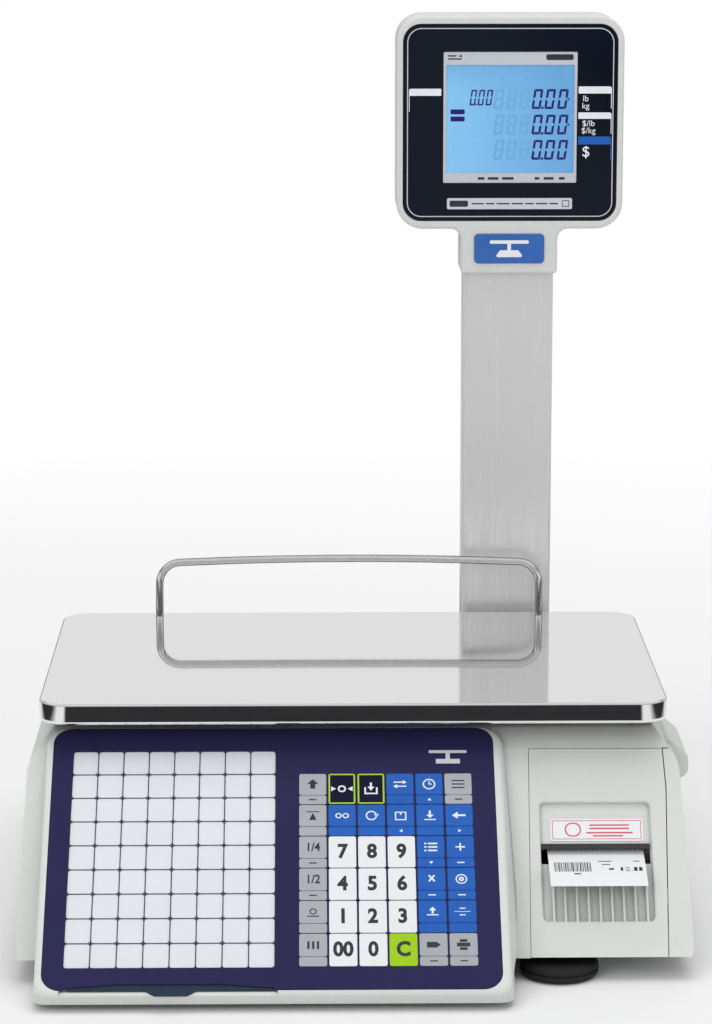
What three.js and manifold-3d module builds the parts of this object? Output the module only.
// Retail price scale with a label printer: a low plastic body that carries a stainless weighing
// platter, a sloping keypad pod at the front left, a label printer that pulls out at the front right
// and a display head on a flat steel column at the rear right.
// Millimetres. +X is the operator's right, +Y is away from the operator, +Z is up. The dimensions
// below are from the point of the table under the centre of the platter; the finished group is then
// moved so that its origin is the middle of its footprint, on the table.
import * as THREE from "three";
import { mergeVertices } from "three/addons/utils/BufferGeometryUtils.js";
import Module from "manifold-3d";

// ---------------------------------------------------------------- driving dimensions
const GAP = 0.3; // clearance between neighbouring pieces
const WALL = 3; // plastic wall thickness

const platter = { width: 382, depth: 246, top: 150, skirt: 13, corner: 18, sheet: 1.2 };
const rail = { legX: 127, wire: 5, height: 33, bend: 14, footY: 114, leanEnd: 6, leanMiddle: 12 };

const body = {
  floor: 14,
  deck: 130,
  floorHalf: 201,
  waistHalf: 193.5,
  waistZ: 112,
  deckHalf: 183,
  front: -198, // where the leaning front face meets the floor edge
  lean: 40, // degrees from vertical of the front face
  crease: 118.5, // top edge of the leaning front face
  deckFront: -97,
  rear: 180,
};

// The keypad pod's face: its own frame has x across, y up the slope and z out of the face.
const panel = { originY: -118.36, originZ: 119.74, slope: 38.86 };
const pod = {
  left: -186,
  right: 90,
  top: 18.6,
  bottom: -171.5,
  corner: 14,
  flareLeft: 5,
  flareRight: 16,
  depth: 60,
  lipY: -251.8,
  lipZ: 4.5,
  lipBack: -209,
  seam: 103.2,
};
const overlay = { left: -181.8, right: 84.6, top: 16.5, bottom: -169.5, corner: 11 };
const card = { left: -170.6, right: -46.2, top: 0.8, bottom: -158, tabX: -107, tabTop: 24, tabEnd: 14, tabDrop: 14 };

// The printer's front cover, measured up the leaning face from the floor edge.
const cover = { left: 104, right: 185.1, leftTop: 106.8, rightTop: 189, bulgeZ: 98, topZ: 118 };
const recess = { left: 112.3, right: 178.6, bottom: 23.7, top: 100.7, depth: 3.6 };
const slot = { left: 112, right: 178, bottom: 61.5, top: 74.5 };
const ribs = { count: 9, pitch: 7, firstX: 118.5, width: 1.4, top: 60 };
const plate = { left: 118.3, right: 174.4, bottom: 76.2, top: 90.9 };
const label = { left: 116.3, right: 174.2, thickness: 0.5 };
const hingePin = { x: 193, z: 16.5, radius: 1.2 };
const grip = { y0: -96, y1: -34, z0: 84, z1: 117, innerX: 189.8, outerX: 206 };

const column = { x: 106, y: 152, width: 60, depth: 30, corner: 3, sheet: 1.5, bottom: 60, top: 399 };
const head = { width: 149.5, height: 140, bottom: 407.8, corner: 17.5, depth: 44, wall: 2.5 };
const neck = { width: 64, depth: 38, bottom: 378, fillet: 7, chamfer: 2.5 };
const lens = { width: 140.6, height: 128.8, corner: 12, thickness: 2 };
const lcd = { width: 88, height: 86, rise: 30.4, thickness: 6 };

const foot = {
  x: 121.6,
  y: 184.3,
  leftX: 150,
  rearX: 164,
  rearY: 140,
  radius: 23.5,
  height: 9.5,
  studRadius: 4,
  studTop: 20,
};

const gear = { module: 0.8, width: 4, x: 175.5, large: 24, small: 12 };
const platen = { y: -124, z: 60, radius: 7 };
const headArm = { y: -84, z: 86 };
const takeup = { y: -58, z: 38, radius: 13 };
const roll = { y: 8, z: 66, radius: 40, core: 12.5 };
const frame = { left: 109, right: 183, sheet: 1.6, floor: 20.5, top: 104, rear: 66 };

const RAD = Math.PI / 180;
const faceTan = Math.tan(body.lean * RAD);

// ---------------------------------------------------------------- materials
function finish(color, roughness, metalness) {
  return new THREE.MeshStandardMaterial({ color, roughness, metalness });
}

const casePlastic = finish(0xdfe1de, 0.55, 0);
const headPlastic = finish(0xe6e8e8, 0.5, 0);
const darkPlastic = finish(0x17181c, 0.45, 0);
const navyFilm = finish(0x2b2c52, 0.35, 0);
const cardWhite = finish(0xeceeee, 0.6, 0);
const blackGloss = finish(0x0a0e16, 0.1, 0);
const lcdBlue = finish(0x7fbde8, 0.25, 0);
const badgeBlue = finish(0x2455a8, 0.3, 0.1);
const polished = finish(0xd4d6d6, 0.12, 1);
const brushed = finish(0xc9cbcb, 0.35, 1);
const zinc = finish(0xa9adb0, 0.45, 0.9);
const castMetal = finish(0x9da1a4, 0.6, 0.8);
const rubber = finish(0x141414, 0.85, 0);
const boardGreen = finish(0x1f6a3c, 0.5, 0);
const gearNylon = finish(0xe9e6da, 0.5, 0);
const labelPaper = finish(0xf4f4f6, 0.7, 0);
const vialGreen = finish(0xb7d84a, 0.15, 0);

// ---------------------------------------------------------------- solids
const wasm = await Module();
wasm.setup();

// A closed geometry as a solid that can be joined and cut.
function solid(geometry) {
  const bare = geometry.clone();
  bare.deleteAttribute("normal");
  bare.deleteAttribute("uv");
  const merged = mergeVertices(bare, 1e-4);
  const vertProperties = new Float32Array(merged.attributes.position.array);
  const triVerts = new Uint32Array(merged.index.array);
  return new wasm.Manifold(new wasm.Mesh({ numProp: 3, vertProperties, triVerts }));
}

function joined(...pieces) {
  return pieces.reduce((whole, piece) => whole.add(piece));
}

function piece(name, shape, material) {
  const made = shape.getMesh();
  const geometry = new THREE.BufferGeometry();
  const position = new THREE.BufferAttribute(new Float32Array(made.vertProperties), 3);
  geometry.setAttribute("position", position);
  geometry.setIndex(new THREE.BufferAttribute(new Uint32Array(made.triVerts), 1));
  geometry.computeVertexNormals();
  const mesh = new THREE.Mesh(geometry, material);
  mesh.name = name;
  return mesh;
}

// A frame whose x axis is +X and whose y axis climbs at `climb` degrees from horizontal.
function slopeFrame(y, z, climb) {
  const across = new THREE.Vector3(1, 0, 0);
  const up = new THREE.Vector3(0, Math.cos(climb * RAD), Math.sin(climb * RAD));
  const out = new THREE.Vector3().crossVectors(across, up);
  return new THREE.Matrix4().makeBasis(across, up, out).setPosition(0, y, z);
}

const panelFrame = slopeFrame(panel.originY, panel.originZ, panel.slope);
const faceFrame = slopeFrame(body.front, body.floor, 90 - body.lean);
const world = new THREE.Matrix4();

function box(x0, x1, y0, y1, z0, z1, frame = world) {
  const geometry = new THREE.BoxGeometry(x1 - x0, y1 - y0, z1 - z0);
  geometry.translate((x0 + x1) / 2, (y0 + y1) / 2, (z0 + z1) / 2);
  return solid(geometry.applyMatrix4(frame));
}

// A cylinder of the given axis: `a` and `b` are its centre in the two other axes, in X, Y, Z order.
function rod(axis, radius, from, to, a, b, segments = 20) {
  const geometry = new THREE.CylinderGeometry(radius, radius, to - from, segments);
  const middle = (from + to) / 2;
  if (axis === "x") geometry.rotateZ(Math.PI / 2).translate(middle, a, b);
  if (axis === "y") geometry.translate(a, middle, b);
  if (axis === "z") geometry.rotateX(Math.PI / 2).translate(a, b, middle);
  return solid(geometry);
}

function shifted(corners, inset) {
  const count = corners.length;
  return corners.map(([x, y, radius = 0], i) => {
    const [px, py] = corners[(i + count - 1) % count];
    const [nx, ny] = corners[(i + 1) % count];
    const into = new THREE.Vector2(x - px, y - py).normalize();
    const away = new THREE.Vector2(nx - x, ny - y).normalize();
    const turn = into.x * away.y - into.y * away.x;
    const along = (inset * (1 - into.dot(away))) / turn;
    const normal = new THREE.Vector2(-into.y, into.x).multiplyScalar(inset);
    const moved = new THREE.Vector2(x, y).add(normal).addScaledVector(into, -along);
    return [moved.x, moved.y, Math.max(radius - inset, 0)];
  });
}

// An anticlockwise outline from [x, y, corner radius] corners, moved inwards by `inset`.
function outline(corners, inset = 0, arcSteps = 4) {
  const moved = inset ? shifted(corners, inset) : corners;
  const count = moved.length;
  const points = [];
  moved.forEach(([x, y, radius = 0], i) => {
    const here = new THREE.Vector2(x, y);
    if (!radius) {
      points.push(here);
      return;
    }
    const before = new THREE.Vector2(...moved[(i + count - 1) % count].slice(0, 2)).sub(here).normalize();
    const after = new THREE.Vector2(...moved[(i + 1) % count].slice(0, 2)).sub(here).normalize();
    const half = Math.acos(THREE.MathUtils.clamp(before.dot(after), -1, 1)) / 2;
    const centre = before.clone().add(after).normalize().multiplyScalar(radius / Math.sin(half)).add(here);
    const start = here.clone().addScaledVector(before, radius / Math.tan(half)).sub(centre).angle();
    const end = here.clone().addScaledVector(after, radius / Math.tan(half)).sub(centre).angle();
    const sweep = THREE.MathUtils.euclideanModulo(end - start + Math.PI, 2 * Math.PI) - Math.PI;
    for (let step = 0; step <= arcSteps; step += 1) {
      const angle = start + (sweep * step) / arcSteps;
      points.push(new THREE.Vector2(Math.cos(angle), Math.sin(angle)).multiplyScalar(radius).add(centre));
    }
  });
  return new THREE.Shape(points);
}

function rectangle(x0, x1, y0, y1, radius = 0) {
  return [
    [x0, y0, radius],
    [x1, y0, radius],
    [x1, y1, radius],
    [x0, y1, radius],
  ];
}

function extruded(shape, length) {
  return new THREE.ExtrudeGeometry(shape, { depth: length, bevelEnabled: false, steps: 1 });
}

// Prisms: the outline lies in the plane named first, and the prism runs along the other axis.
function prismXY(shape, z0, z1, frame = world) {
  return solid(extruded(shape, z1 - z0).translate(0, 0, z0).applyMatrix4(frame));
}

function prismYZ(shape, x0, x1) {
  const turn = new THREE.Matrix4().makeBasis(
    new THREE.Vector3(0, 1, 0),
    new THREE.Vector3(0, 0, 1),
    new THREE.Vector3(1, 0, 0),
  );
  return solid(extruded(shape, x1 - x0).applyMatrix4(turn).translate(x0, 0, 0));
}

function prismXZ(shape, y0, y1) {
  return solid(extruded(shape, y1 - y0).rotateX(Math.PI / 2).translate(0, y1, 0));
}

// ---------------------------------------------------------------- body shell
// y of the leaning front face at a height
function faceY(z) {
  return body.front + (z - body.floor) * faceTan;
}

// The body's outer form, moved inwards by `inset`. A moved-in form runs past the floor, so that
// cutting it away leaves the shell open underneath.
function bodyForm(inset) {
  const floor = inset ? body.floor - inset - 1 : body.floor;
  const sideSlope = (body.floorHalf - body.waistHalf) / (body.waistZ - body.floor);
  const half = body.floorHalf + (body.floor - floor) * sideSlope;
  const side = outline(
    [
      [faceY(floor), floor],
      [body.rear, floor],
      [body.rear, body.deck, 10],
      [body.deckFront, body.deck, 8],
      [faceY(body.crease), body.crease, 5],
    ],
    inset,
    3,
  );
  const front = outline(
    [
      [-half, floor],
      [half, floor],
      [body.waistHalf, body.waistZ, 16],
      [body.deckHalf, body.deck, 7],
      [-body.deckHalf, body.deck, 7],
      [-body.waistHalf, body.waistZ, 16],
    ],
    inset,
    3,
  );
  const plan = outline(rectangle(-half, half, body.front - 5, body.rear, 12), inset, 3);
  return prismYZ(side, -half - 5, half + 5)
    .intersect(prismXZ(front, body.front - 30, body.rear + 10))
    .intersect(prismXY(plan, floor - 1, body.deck + 1));
}

// The pod: the rounded outline of the keypad face, running back into the body and flaring outwards.
function podForm(inset) {
  const corners = rectangle(pod.left, pod.right, pod.bottom, pod.top, pod.corner);
  const geometry = extruded(outline(corners, inset, 4), pod.depth);
  geometry.translate(0, 0, -pod.depth - inset);
  const position = geometry.attributes.position;
  for (let i = 0; i < position.count; i += 1) {
    const depth = -inset - position.getZ(i);
    const flare = position.getX(i) > 0 ? pod.flareRight : -pod.flareLeft;
    position.setX(i, position.getX(i) + depth * Math.tan(flare * RAD));
    position.setY(i, position.getY(i) + (position.getY(i) > -60 ? 0 : -depth * 0.4));
  }
  const open = inset ? 4 : 0;
  const lip = outline([
    [pod.lipY + inset, pod.lipZ - open],
    [pod.lipBack + open, pod.lipZ - open],
    [pod.lipBack + open, body.floor - open],
    [-60, body.floor - open],
    [-60, body.deck + 6],
    [pod.lipY + inset, body.deck + 6],
  ]);
  return solid(geometry.applyMatrix4(panelFrame)).intersect(prismYZ(lip, pod.left - 20, pod.seam - inset));
}

const bodyOuter = bodyForm(0);
const bodyInner = bodyForm(WALL);
const podOuter = podForm(0);
const podInner = podForm(WALL);

// Outline, seen from the front, of the printer's front cover; the seam on its right bows outwards.
function coverOutline(grow) {
  return outline([
    [cover.left - grow, body.floor - 20],
    [cover.right + grow, body.floor - 20],
    [cover.right + grow, body.floor],
    [cover.rightTop + grow, cover.bulgeZ],
    [cover.rightTop - 1 + grow, cover.topZ + grow],
    [cover.leftTop - grow, cover.topZ + grow],
    [cover.left - grow, body.floor],
  ]);
}

// Outline, seen from the front, of the side door, from the cover's seam out past the side wall.
function doorOutline(grow) {
  const seam = 0.6;
  return outline([
    [cover.right + seam - grow, body.floor - 20],
    [body.floorHalf + 30, body.floor - 20],
    [body.floorHalf + 30, cover.topZ + grow],
    [cover.rightTop - 1 + seam - grow, cover.topZ + grow],
    [cover.rightTop + seam - grow, cover.bulgeZ],
    [cover.right + seam - grow, body.floor],
  ]);
}

const doorRear = 25;
const postHole = { x0: 22, x1: 68, half: 24 };
const ioOpening = { x0: -150, x1: -36, z0: 26, z1: 66 };

function upperCase() {
  const coverBay = prismXZ(coverOutline(GAP), body.front - 30, -40);
  const doorBay = prismXZ(doorOutline(2 * GAP), body.front - 30, doorRear + GAP);
  const overlayPocket = prismXY(outline(rectangle(
    overlay.left - GAP,
    overlay.right + GAP,
    overlay.bottom - GAP,
    overlay.top + GAP,
    overlay.corner,
  )), -3, 5, panelFrame);
  const cardMouth = box(card.left - 1, card.right + 1, overlay.bottom - 12, overlay.bottom + 6, -1.7, 5, panelFrame);
  return bodyOuter
    .add(podOuter)
    .subtract(bodyInner.add(podInner))
    .subtract(coverBay)
    .subtract(doorBay)
    .add(box(overlay.left - 2, overlay.right + 2, overlay.bottom - 0.5, overlay.top + 1, -5.4, -2.5, panelFrame))
    .subtract(overlayPocket)
    .subtract(cardMouth)
    .subtract(box(postHole.x0, postHole.x1, -postHole.half, postHole.half, 100, 140))
    .subtract(box(
      column.x - column.width / 2 - 0.5,
      column.x + column.width / 2 + 0.5,
      column.y - column.depth / 2 - 0.5,
      column.y + column.depth / 2 + 0.5,
      100,
      140,
    ))
    .subtract(box(ioOpening.x0, ioOpening.x1, body.rear - 8, body.rear + 8, ioOpening.z0, ioOpening.z1));
}

// ---------------------------------------------------------------- base tray and what stands on it
const tray = {
  bottom: 15,
  top: 17,
  left: -192,
  right: 180,
  front: -180,
  rear: 174,
  step: -211.5, // where the tray drops to the pod's lip
  lipFront: -242,
  lipZ: 6,
};
const feet = [
  ["foot_front_right", foot.x, -foot.y],
  ["foot_front_left", -foot.leftX, -foot.y],
  ["foot_rear_right", foot.rearX, foot.rearY],
  ["foot_rear_left", -foot.rearX, foot.rearY],
];

function basePlate() {
  const main = box(tray.left, tray.right, tray.front, tray.rear, tray.bottom, tray.top);
  const podLeft = pod.left + 9;
  const podRight = pod.right - 6;
  const frontLeft = box(podLeft, podRight, tray.step, tray.front + 1, tray.bottom, tray.top);
  const step = box(podLeft, podRight, tray.step - 2, tray.step + 0.5, tray.lipZ, tray.top);
  const lip = box(podLeft, podRight, tray.lipFront, tray.step, tray.lipZ, tray.lipZ + 2);
  const footTab = box(foot.x - 12, foot.x + 12, -foot.y - 6, tray.front + 1, tray.bottom, tray.top);
  const studs = feet.map(([, x, y]) => rod("z", foot.studRadius + 0.5, 0, 40, x, y, 16));
  return joined(main, frontLeft, step, lip, footTab).subtract(joined(...studs));
}

function levellingFoot(x, y) {
  const pad = new THREE.LatheGeometry(
    [
      new THREE.Vector2(0, 0),
      new THREE.Vector2(foot.radius - 3, 0),
      new THREE.Vector2(foot.radius, 3),
      new THREE.Vector2(foot.radius, foot.height - 2),
      new THREE.Vector2(foot.radius - 2, foot.height),
      new THREE.Vector2(foot.studRadius, foot.height),
      new THREE.Vector2(foot.studRadius, foot.studTop),
      new THREE.Vector2(0, foot.studTop),
    ],
    24,
  );
  return solid(pad.rotateX(Math.PI / 2).translate(x, y, 0));
}

const cell = { x0: -66, x1: 66, half: 15, z0: 64, z1: 88, endLength: 36 };

function loadCell() {
  const bar = box(cell.x0, cell.x1, -cell.half, cell.half, cell.z0, cell.z1);
  const middleZ = (cell.z0 + cell.z1) / 2;
  const holes = joined(
    rod("y", 8, -20, 20, -9, middleZ, 16),
    rod("y", 8, -20, 20, 9, middleZ, 16),
    box(-9, 9, -20, 20, middleZ - 3, middleZ + 3),
  );
  return bar.subtract(holes);
}

const internals = [
  piece("base_plate", basePlate(), zinc),
  piece("load_cell_base", box(
    cell.x0,
    cell.x0 + cell.endLength,
    -cell.half - 6,
    cell.half + 6,
    tray.top + GAP,
    cell.z0 - GAP,
  ), castMetal),
  piece("load_cell", loadCell(), zinc),
  piece("main_board", box(-160, -10, -150, -40, 24, 26).add(box(-140, -90, -120, -70, 25, 34)), boardGreen),
  piece("power_supply", box(-170, -80, 10, 120, tray.top + 4, 62), zinc),
  piece("spirit_level", rod("z", 10, body.deck + GAP, body.deck + 4, -20, 104, 20), vialGreen),
];

// ---------------------------------------------------------------- rear panel
function rearPanel() {
  const plateBody = box(
    ioOpening.x0 + GAP,
    ioOpening.x1 - GAP,
    body.rear - 3,
    body.rear - 1,
    ioOpening.z0 + GAP,
    ioOpening.z1 - GAP,
  );
  const inletHole = box(-146, -116, body.rear - 9, body.rear + 1, 34, 58);
  const switchHole = box(-110, -92, body.rear - 9, body.rear + 1, 34, 58);
  const portHole = box(-86, -42, body.rear - 9, body.rear + 1, 36, 54);
  return plateBody.subtract(joined(inletHole, switchHole, portHole));
}

function inlet() {
  const shell = box(-146 + GAP, -116 - GAP, body.rear - 24, body.rear, 34 + GAP, 58 - GAP);
  const socket = box(-142, -120, body.rear - 18, body.rear + 1, 38, 54);
  const pin = (x, z) => box(x - 1, x + 1, body.rear - 20, body.rear - 4, z - 2, z + 2);
  return shell.subtract(socket).add(joined(pin(-137, 44), pin(-125, 44), pin(-131, 49)));
}

function ports() {
  const shell = box(-86 + GAP, -42 - GAP, body.rear - 20, body.rear, 36 + GAP, 54 - GAP);
  const jacks = joined(
    box(-83, -69, body.rear - 14, body.rear + 1, 39, 51),
    box(-66, -48, body.rear - 4, body.rear + 1, 40, 50),
  );
  return shell.subtract(jacks);
}

const rocker = { x: -101, half: 8, z: 46, tilt: 8 };

// The rocker rests with its upper end pressed in; it turns about its pivot to press the lower end.
function powerRocker() {
  const pivot = new THREE.Vector2(body.rear - 8, rocker.z);
  const corners = [
    [-4, -7],
    [5.5, -10],
    [8, -9.2],
    [6, 0],
    [8, 9.2],
    [5.5, 10],
    [-4, 7],
  ];
  const points = corners.map(([y, z]) => {
    const corner = new THREE.Vector2(y, z).rotateAround(new THREE.Vector2(), rocker.tilt * RAD);
    return corner.add(pivot);
  });
  return prismYZ(new THREE.Shape(points), rocker.x - rocker.half, rocker.x + rocker.half);
}

const rearPieces = [
  piece("rear_io_panel", rearPanel(), zinc),
  piece("power_inlet", inlet(), darkPlastic),
  piece("rear_ports", ports(), zinc),
  piece("power_rocker", powerRocker(), darkPlastic),
];

// ---------------------------------------------------------------- keypad
function overlayFilm() {
  const film = prismXY(outline(rectangle(
    overlay.left,
    overlay.right,
    overlay.bottom,
    overlay.top,
    overlay.corner,
  )), -0.6, 0.2, panelFrame);
  const middle = (card.left + card.right) / 2;
  const notch = outline([
    [middle - 61, overlay.bottom - 1],
    [middle + 61, overlay.bottom - 1],
    [middle + 61, overlay.bottom + 1.5],
    [middle + 30, overlay.bottom + 4, 20],
    [middle - 30, overlay.bottom + 4, 20],
    [middle - 61, overlay.bottom + 1.5],
  ]);
  return film.subtract(prismXY(notch, -3, 3, panelFrame));
}

function presetCard() {
  const sheet = box(card.left, card.right, card.bottom, card.top, -1.3, -0.9, panelFrame);
  const tab = outline([
    [card.tabX - card.tabEnd / 2, card.bottom - card.tabDrop, 2],
    [card.tabX + card.tabEnd / 2, card.bottom - card.tabDrop, 2],
    [card.tabX + card.tabTop / 2, card.bottom + 1],
    [card.tabX - card.tabTop / 2, card.bottom + 1],
  ]);
  return sheet.add(prismXY(tab, -1.3, -0.9, panelFrame));
}

const keypadPieces = [
  piece("keypad_overlay", overlayFilm(), navyFilm),
  piece("preset_card", presetCard(), cardWhite),
  piece("keypad_membrane", box(
    overlay.left + 4,
    overlay.right - 4,
    overlay.bottom + 12,
    overlay.top - 4,
    -2.7,
    -1.6,
    panelFrame,
  ), darkPlastic),
  piece("keypad_backplate", box(
    overlay.left + 8,
    overlay.right - 12,
    overlay.bottom + 26,
    overlay.top - 22,
    -8,
    -6.4,
    panelFrame,
  ), zinc),
];

// ---------------------------------------------------------------- column and display head
function columnTube() {
  const outer = rectangle(
    column.x - column.width / 2,
    column.x + column.width / 2,
    column.y - column.depth / 2,
    column.y + column.depth / 2,
    column.corner,
  );
  const tube = prismXY(outline(outer, 0, 3), column.bottom, column.top);
  return tube.subtract(prismXY(outline(outer, column.sheet, 2), column.bottom - 1, column.top + 1));
}

function columnSocket() {
  const half = { x: column.width / 2 + 0.5, y: column.depth / 2 + 0.5 };
  const sleeve = box(
    column.x - half.x - 3,
    column.x + half.x + 3,
    column.y - half.y - 3,
    column.y + half.y + 3,
    tray.top + GAP,
    104,
  );
  const bore = box(
    column.x - half.x,
    column.x + half.x,
    column.y - half.y,
    column.y + half.y,
    column.bottom - 1,
    105,
  );
  const light = box(column.x - 26, column.x + 26, column.y - 12, column.y + 12, tray.top, column.bottom);
  return sleeve.subtract(bore).subtract(light);
}

const headSplit = column.y;

function headOutline() {
  const bottom = head.bottom;
  const top = bottom + head.height;
  const halfHead = head.width / 2;
  const halfNeck = neck.width / 2;
  const x = column.x;
  return [
    [x - halfNeck, neck.bottom, neck.chamfer],
    [x + halfNeck, neck.bottom, neck.chamfer],
    [x + halfNeck, bottom, neck.fillet],
    [x + halfHead, bottom, head.corner],
    [x + halfHead, top, head.corner],
    [x - halfHead, top, head.corner],
    [x - halfHead, bottom, head.corner],
    [x - halfNeck, bottom, neck.fillet],
  ];
}

// One half of the head, between two depths: a shell with a window recess for its lens.
function headHalf(y0, y1, lensSide) {
  const outer = prismXZ(outline(headOutline()), y0, y1);
  const frontal = lensSide < 0;
  const hollow = frontal ? [y0 + head.wall + 2, y1 + 1] : [y0 - 1, y1 - head.wall - 2];
  const inner = prismXZ(outline(headOutline(), head.wall), ...hollow);
  const neckHole = box(
    column.x - column.width / 2 - 0.4,
    column.x + column.width / 2 + 0.4,
    column.y - column.depth / 2 - 0.4,
    column.y + column.depth / 2 + 0.4,
    neck.bottom - 1,
    column.top + 2,
  );
  const middleZ = head.bottom + head.height / 2;
  const seat = rectangle(
    column.x - lens.width / 2 - GAP,
    column.x + lens.width / 2 + GAP,
    middleZ - lens.height / 2 - GAP,
    middleZ + lens.height / 2 + GAP,
    lens.corner,
  );
  const seatDepth = frontal ? [y0 - 1, y0 + lens.thickness + GAP] : [y1 - lens.thickness - GAP, y1 + 1];
  const window = outline(seat, 10);
  return outer
    .subtract(inner)
    .subtract(neckHole)
    .subtract(prismXZ(outline(seat), ...seatDepth))
    .subtract(prismXZ(window, y0 - 1, y1 + 1));
}

function lensPlate(y0) {
  const middleZ = head.bottom + head.height / 2;
  const edge = rectangle(
    column.x - lens.width / 2,
    column.x + lens.width / 2,
    middleZ - lens.height / 2,
    middleZ + lens.height / 2,
    lens.corner,
  );
  return prismXZ(outline(edge), y0, y0 + lens.thickness);
}

function lcdBlock(y0) {
  const z0 = head.bottom + lcd.rise;
  return box(column.x - lcd.width / 2, column.x + lcd.width / 2, y0, y0 + lcd.thickness, z0, z0 + lcd.height);
}

const headFront = column.y - head.depth / 2;
const headRear = column.y + head.depth / 2;

function neckBadge() {
  const edge = rectangle(column.x - 23.2, column.x + 23.2, 385, 404.8, 3);
  return prismXZ(outline(edge, 0, 3), headFront - 1.3, headFront - GAP);
}

function columnCable() {
  const path = new THREE.CatmullRomCurve3([
    new THREE.Vector3(column.x - 8, column.y, column.bottom + 6),
    new THREE.Vector3(column.x + 6, column.y + 3, 180),
    new THREE.Vector3(column.x - 6, column.y - 3, 300),
    new THREE.Vector3(column.x, column.y, column.top + 14),
  ]);
  const ring = new THREE.Shape().absarc(0, 0, 3, 0, 2 * Math.PI);
  const options = { steps: 12, curveSegments: 5, bevelEnabled: false, extrudePath: path };
  return solid(new THREE.ExtrudeGeometry(ring, options));
}

const boardY = column.y - 6;
const headPieces = [
  piece("column", columnTube(), brushed),
  piece("column_socket", columnSocket(), castMetal),
  piece("column_cable", columnCable(), rubber),
  piece("head_front_case", headHalf(headFront, headSplit - GAP / 2, -1), headPlastic),
  piece("head_rear_case", headHalf(headSplit + GAP / 2, headRear, 1), headPlastic),
  piece("operator_lens", lensPlate(headFront), blackGloss),
  piece("customer_lens", lensPlate(headRear - lens.thickness), blackGloss),
  piece("operator_lcd", lcdBlock(headFront + lens.thickness + 3), lcdBlue),
  piece("customer_lcd", lcdBlock(headRear - lens.thickness - 3 - lcd.thickness), lcdBlue),
  piece("display_board", box(column.x - 55, column.x + 55, boardY, boardY + 2, 424, 536), boardGreen),
  piece("neck_badge", neckBadge(), badgeBlue),
];

// ---------------------------------------------------------------- weighing platform
const spider = { z0: 134, z1: 141, armX: 150, armY: 88, width: 26, hubX: 72, hubY: 30 };

function spiderCasting() {
  const hub = box(-spider.hubX, spider.hubX, -spider.hubY, spider.hubY, spider.z0, spider.z1);
  const arms = [-1, 1].flatMap((sx) =>
    [-1, 1].map((sy) => {
      const side = spider.width / 2;
      const shape = outline([
        [sx * 40 - side, sy > 0 ? 0 : -spider.armY - side],
        [sx * 40 + side, sy > 0 ? 0 : -spider.armY - side],
        [sx * 40 + side, sy > 0 ? spider.armY + side : 0],
        [sx * 40 - side, sy > 0 ? spider.armY + side : 0],
      ]);
      return prismXY(shape, spider.z0 + 0.5, spider.z1);
    }),
  );
  const cross = [-1, 1].map((sy) => box(
    -spider.armX - 12,
    spider.armX + 12,
    sy * spider.armY - 12,
    sy * spider.armY + 12,
    spider.z0 + 1,
    spider.z1,
  ));
  return joined(hub, ...arms, ...cross);
}

const underside = platter.top - platter.sheet;

function spiderPad(sx, sy) {
  return rod("z", 8, spider.z1 + GAP, underside - GAP, sx * spider.armX, sy * spider.armY, 16);
}

const carrierPieces = [
  piece("load_cell_spacer", box(
    cell.x1 - cell.endLength,
    cell.x1,
    -cell.half,
    cell.half,
    cell.z1 + GAP,
    spider.z0 - GAP,
  ), castMetal),
  piece("spider", spiderCasting(), castMetal),
  piece("spider_pad_front_left", spiderPad(-1, -1), rubber),
  piece("spider_pad_front_right", spiderPad(1, -1), rubber),
  piece("spider_pad_rear_left", spiderPad(-1, 1), rubber),
  piece("spider_pad_rear_right", spiderPad(1, 1), rubber),
];

function platterPan() {
  const edge = rectangle(
    -platter.width / 2,
    platter.width / 2,
    -platter.depth / 2,
    platter.depth / 2,
    platter.corner,
  );
  const block = prismXY(outline(edge, 0, 6), platter.top - platter.skirt, platter.top);
  const hollow = prismXY(outline(edge, platter.sheet, 6), platter.top - platter.skirt - 1, underside);
  const legs = [-1, 1].map((side) => rod("z", rail.wire / 2 + GAP, 140, 152, side * rail.legX, rail.footY, 12));
  return block.subtract(hollow).subtract(joined(...legs));
}

// The guard rail: one bent wire whose legs lean back and whose top bar bows back and slightly up.
function guardRail() {
  const z = platter.top;
  const top = z + rail.height;
  const side = (sx) => [
    new THREE.Vector3(sx * rail.legX, rail.footY, z - 7),
    new THREE.Vector3(sx * rail.legX, rail.footY, z + 4),
    new THREE.Vector3(sx * rail.legX, rail.footY + rail.leanEnd * 0.6, top - rail.bend),
    new THREE.Vector3(sx * (rail.legX - rail.bend * 0.3), rail.footY + rail.leanEnd * 0.9, top - rail.bend * 0.3),
    new THREE.Vector3(sx * (rail.legX - rail.bend), rail.footY + rail.leanEnd, top),
  ];
  const middle = [-60, 0, 60].map((x) => {
    const bow = 1 - (x / rail.legX) ** 2;
    const lean = rail.leanEnd + (rail.leanMiddle - rail.leanEnd) * bow;
    return new THREE.Vector3(x, rail.footY + lean, top + 1.2 * bow);
  });
  const path = new THREE.CatmullRomCurve3([...side(-1), ...middle, ...side(1).reverse()], false, "centripetal");
  const ring = new THREE.Shape().absarc(0, 0, rail.wire / 2, 0, 2 * Math.PI);
  const options = { steps: 32, curveSegments: 5, bevelEnabled: false, extrudePath: path };
  return solid(new THREE.ExtrudeGeometry(ring, options));
}

function railNut(side) {
  const x = side * rail.legX;
  const nut = rod("z", 6, underside - 5, underside - GAP, x, rail.footY, 6);
  return nut.subtract(rod("z", rail.wire / 2 + GAP, 130, 160, x, rail.footY, 12));
}

const platterPieces = [
  piece("platter", platterPan(), polished),
  piece("guard_rail", guardRail(), polished),
  piece("rail_nut_left", railNut(-1), zinc),
  piece("rail_nut_right", railNut(1), zinc),
];

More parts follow.
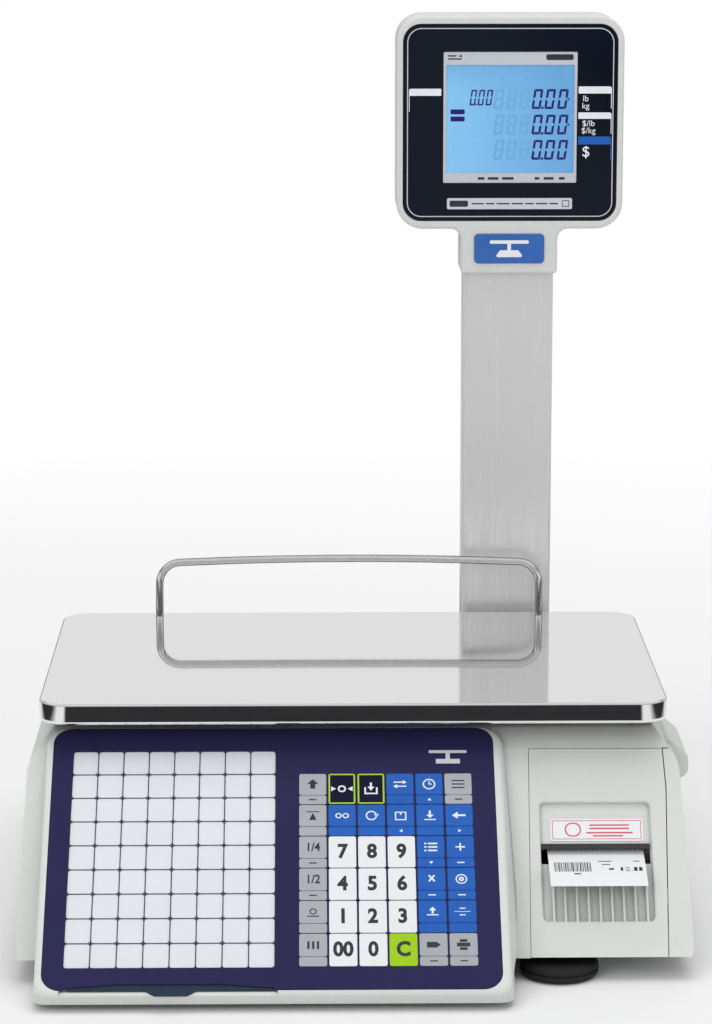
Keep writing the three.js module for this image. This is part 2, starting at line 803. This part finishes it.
// ---------------------------------------------------------------- side door
function sideDoor() {
  const skin = bodyOuter.subtract(bodyInner);
  const region = prismXZ(doorOutline(0), body.front - 30, doorRear);
  const floorCut = box(150, 230, -220, doorRear + 5, 0, body.floor + GAP);
  const bulge = outline([
    [grip.innerX, grip.z0],
    [195, grip.z0 - 4, 4],
    [grip.outerX, grip.z0 + 6, 4],
    [grip.outerX, grip.z1 - 14, 8],
    [193, grip.z1, 3],
    [grip.innerX, grip.z1],
  ]);
  const lug = prismXZ(bulge, grip.y0, grip.y1);
  const hollow = prismXZ(outline([
    [180, grip.z0 + 5],
    [190.6, grip.z0 + 5],
    [190.6, grip.z1 - 7],
    [187, grip.z1 + 2],
    [180, grip.z1 + 2],
  ]), grip.y0 - 1, grip.y1 + 1);
  const barrels = joined(
    box(hingePin.x - 2.2, 199, -150, -130, body.floor + GAP, 19),
    box(hingePin.x - 2.2, 199, -20, 0, body.floor + GAP, 19),
  );
  const pinHole = rod("y", hingePin.radius + GAP, -160, 20, hingePin.x, hingePin.z, 12);
  return skin
    .intersect(region)
    .subtract(floorCut)
    .add(lug.subtract(hollow))
    .subtract(bodyInner.intersect(box(100, 188, -200, 60, 60, 130)))
    .add(barrels)
    .subtract(pinHole);
}

const doorPieces = [
  piece("side_door", sideDoor(), casePlastic),
  piece("door_hinge_pin", rod("y", hingePin.radius, -158, 12, hingePin.x, hingePin.z, 12), zinc),
];

// ---------------------------------------------------------------- printer drawer
function frontCover() {
  const skin = bodyOuter.subtract(bodyForm(WALL + 0.01));
  const shell = skin.intersect(prismXZ(coverOutline(0), body.front - 30, -60));
  const floorCut = box(90, 200, -220, 0, 0, body.floor + GAP);
  const back = box(
    recess.left - 2.5,
    recess.right + 2.5,
    recess.bottom - 2.5,
    recess.top + 2.5,
    -recess.depth - 2.5,
    -1,
    faceFrame,
  );
  const pocket = prismXY(outline(rectangle(
    recess.left,
    recess.right,
    recess.bottom,
    recess.top,
    3,
  )), -recess.depth, 5, faceFrame);
  const mouth = box(slot.left, slot.right, slot.bottom, slot.top, -20, 5, faceFrame);
  const fins = Array.from({ length: ribs.count }, (_, i) => {
    const x = ribs.firstX + i * ribs.pitch;
    return box(x - ribs.width / 2, x + ribs.width / 2, recess.bottom - 1, ribs.top, -recess.depth - 1, -0.4, faceFrame);
  });
  return joined(shell, back).subtract(pocket).subtract(floorCut).add(joined(...fins)).subtract(mouth);
}

function printerFrame() {
  const setBack = 14;
  const side = outline([
    [faceY(frame.floor) + setBack, frame.floor],
    [frame.rear, frame.floor],
    [frame.rear, 84],
    [frame.rear - 20, frame.top],
    [faceY(frame.top) + setBack, frame.top],
  ]);
  const bores = joined(
    rod("x", 3.3, 100, 190, platen.y, platen.z, 16),
    rod("x", 4.4, 100, 190, roll.y, roll.z, 16),
    rod("x", 3.3, 100, 190, takeup.y, takeup.z, 16),
    rod("x", 2.4, 100, 190, headArm.y, headArm.z, 12),
  );
  const lower = box(
    frame.left + 0.5,
    frame.right - 0.5,
    faceY(frame.floor) + setBack,
    frame.rear,
    frame.floor,
    frame.floor + frame.sheet,
  );
  return joined(
    prismYZ(side, frame.left, frame.left + frame.sheet).subtract(bores),
    prismYZ(side, frame.right - frame.sheet, frame.right).subtract(bores),
    lower,
  );
}

function tearBar() {
  const teeth = 26;
  const left = slot.left + GAP;
  const right = slot.right - GAP;
  const pitch = (right - left) / teeth;
  const points = [
    [right, slot.top - GAP],
    [left, slot.top - GAP],
  ];
  for (let i = 0; i < teeth; i += 1) {
    points.push([left + i * pitch, slot.top - 3.2]);
    points.push([left + (i + 0.5) * pitch, slot.top - 4.6]);
  }
  points.push([right, slot.top - 3.2]);
  return prismXY(outline(points), -3.4, -2.2, faceFrame);
}

function printedLabel() {
  const start = [-134, 65.9];
  const bend = [-153.5, 64.6];
  const end = [-182, 53.6];
  const t = label.thickness;
  const side = outline([
    start,
    [bend[0], bend[1]],
    end,
    [end[0] - 0.2, end[1] - t],
    [bend[0], bend[1] - t],
    [start[0], start[1] - t],
  ].reverse());
  return prismYZ(side, label.left, label.right);
}

function cautionPlate() {
  const edge = rectangle(plate.left, plate.right, plate.bottom, plate.top, 1);
  return prismXY(outline(edge, 0, 2), -recess.depth + GAP, -recess.depth + 0.8, faceFrame);
}

// A spur gear: straight-flanked teeth, one of them pointing along `tooth` degrees in the Y-Z plane.
function spurGear(teeth, y, z, tooth, bore) {
  const pitch = (gear.module * teeth) / 2;
  const tip = pitch + 0.8 * gear.module;
  const root = pitch - 1.15 * gear.module;
  const points = [];
  for (let i = 0; i < teeth; i += 1) {
    const middle = tooth * RAD + (i * 2 * Math.PI) / teeth;
    const place = (radius, share) => {
      const angle = middle + (share * Math.PI) / teeth;
      points.push(new THREE.Vector2(y + radius * Math.cos(angle), z + radius * Math.sin(angle)));
    };
    place(root, -0.68);
    place(tip, -0.22);
    place(tip, 0.22);
    place(root, 0.68);
  }
  const blank = prismYZ(new THREE.Shape(points), gear.x, gear.x + gear.width);
  return bore ? blank.subtract(rod("x", bore, gear.x - 1, gear.x + gear.width + 1, y, z, 16)) : blank;
}

// The gear train: platen gear, idler and motor pinion, placed tooth in gap.
const large = (gear.module * gear.large) / 2;
const small = (gear.module * gear.small) / 2;
const firstLine = -15;
const halfTooth = 180 / gear.large;
const secondLine = firstLine + halfTooth;
const idler = {
  y: platen.y + 2 * large * Math.cos(firstLine * RAD),
  z: platen.z + 2 * large * Math.sin(firstLine * RAD),
};
const motor = {
  y: idler.y + (large + small) * Math.cos(secondLine * RAD),
  z: idler.z + (large + small) * Math.sin(secondLine * RAD),
  radius: 17,
  x0: 130,
  x1: 165,
};

function platenShaft() {
  const shaft = rod("x", 3, frame.left - 2, frame.right + 1.5, platen.y, platen.z, 16);
  return shaft;
}

function platenRubber() {
  const tube = rod("x", platen.radius, 114, 174.6, platen.y, platen.z, 24);
  return tube.subtract(rod("x", 3 + GAP, 110, 180, platen.y, platen.z, 16));
}

function idlerGear() {
  const hub = spurGear(gear.large, idler.y, idler.z, firstLine + 180 + halfTooth, 0);
  return hub.add(rod("x", 2, gear.x, frame.right - frame.sheet - 0.2, idler.y, idler.z, 12));
}

function motorPinion() {
  const teeth = spurGear(gear.small, motor.y, motor.z, secondLine + 180 + 180 / gear.small, 0);
  return teeth.add(rod("x", 2, motor.x1 - 4, gear.x + 0.5, motor.y, motor.z, 12));
}

function motorCan() {
  const can = rod("x", motor.radius, motor.x0, motor.x1, motor.y, motor.z, 24);
  return can.subtract(rod("x", 2 + GAP, motor.x1 - 5, motor.x1 + 1, motor.y, motor.z, 12));
}

function printHead() {
  const front = platen.y - 10;
  const rear = platen.y + 18;
  const block = box(114, 172, front, rear, platen.z + platen.radius + GAP, 76);
  const arms = joined(
    box(114, 117, rear - 2, headArm.y + 5, 68.5, headArm.z + 5),
    box(169, 172, rear - 2, headArm.y + 5, 68.5, headArm.z + 5),
    box(114, 172, headArm.y - 8, headArm.y - 4, 72, 84),
  );
  const clip = box(100, 200, front - 5, front + 7.5, 71, 80);
  return joined(block, arms)
    .subtract(clip)
    .subtract(rod("x", 2.4, 110, 180, headArm.y, headArm.z, 12));
}

function headLever() {
  const shaft = rod("x", 2, frame.left - 2, frame.right + 1, headArm.y, headArm.z, 12);
  const arm = box(174, 178, headArm.y - 3.5, headArm.y + 3.5, headArm.z - 3.5, 99);
  const tip = box(174, 178, headArm.y - 14, headArm.y + 3.5, 95, 99);
  return joined(shaft, arm, tip);
}

function labelRoll() {
  const paper = rod("x", roll.radius, 116, 174, roll.y, roll.z, 32);
  return paper.subtract(rod("x", roll.core + GAP, 110, 180, roll.y, roll.z, 20));
}

function rollSpindle() {
  const core = rod("x", roll.core, 114.5, 177, roll.y, roll.z, 20);
  const axle = rod("x", 4, frame.left - 1.5, frame.right + 1.5, roll.y, roll.z, 16);
  const flange = rod("x", 30, 112, 114.5, roll.y, roll.z, 24);
  return joined(core, axle, flange);
}

function takeupSpindle() {
  const core = rod("x", takeup.radius, 116, 172, takeup.y, takeup.z, 20);
  const axle = rod("x", 3, frame.left - 1.5, frame.right + 1.5, takeup.y, takeup.z, 16);
  const flange = rod("x", 15, 112, 114, takeup.y, takeup.z, 20);
  return joined(core, axle, flange, rod("x", 6, 112, 118, takeup.y, takeup.z, 12));
}

const drawerPieces = [
  piece("printer_front_cover", frontCover(), casePlastic),
  piece("printer_frame", printerFrame(), zinc),
  piece("tear_bar", tearBar(), brushed),
  piece("caution_plate", cautionPlate(), labelPaper),
  piece("printed_label", printedLabel(), labelPaper),
  piece("stepper_motor", motorCan(), darkPlastic),
  piece("motor_pinion", motorPinion(), brushed),
  piece("idler_gear", idlerGear(), gearNylon),
  piece("platen_gear", spurGear(gear.large, platen.y, platen.z, firstLine, 3 + GAP), gearNylon),
  piece("platen_shaft", platenShaft(), zinc),
  piece("platen_roller", platenRubber(), rubber),
  piece("print_head", printHead(), castMetal),
  piece("head_lever", headLever(), darkPlastic),
  piece("label_roll", labelRoll(), labelPaper),
  piece("roll_spindle", rollSpindle(), darkPlastic),
  piece("takeup_spindle", takeupSpindle(), darkPlastic),
];

function drawerRail(x) {
  return box(x - 2.5, x + 2.5, -170, 66, tray.top + GAP, frame.floor - GAP);
}

const railPieces = [
  piece("drawer_rail_left", drawerRail(frame.left + 6), zinc),
  piece("drawer_rail_right", drawerRail(frame.right - 8), zinc),
];

// ---------------------------------------------------------------- the scale
const footprintX = (grip.outerX - body.floorHalf) / 2;
const footprintY = (body.rear + pod.lipY) / 2;
const scale = new THREE.Group();
scale.position.set(-footprintX, -footprintY, 0);
scale.add(
  piece("upper_case", upperCase(), casePlastic),
  ...internals,
  ...feet.map(([name, x, y]) => piece(name, levellingFoot(x, y), rubber)),
  ...rearPieces,
  ...keypadPieces,
  ...headPieces,
  ...carrierPieces,
  ...platterPieces,
  ...doorPieces,
  ...railPieces,
  ...drawerPieces,
);

export default scale;
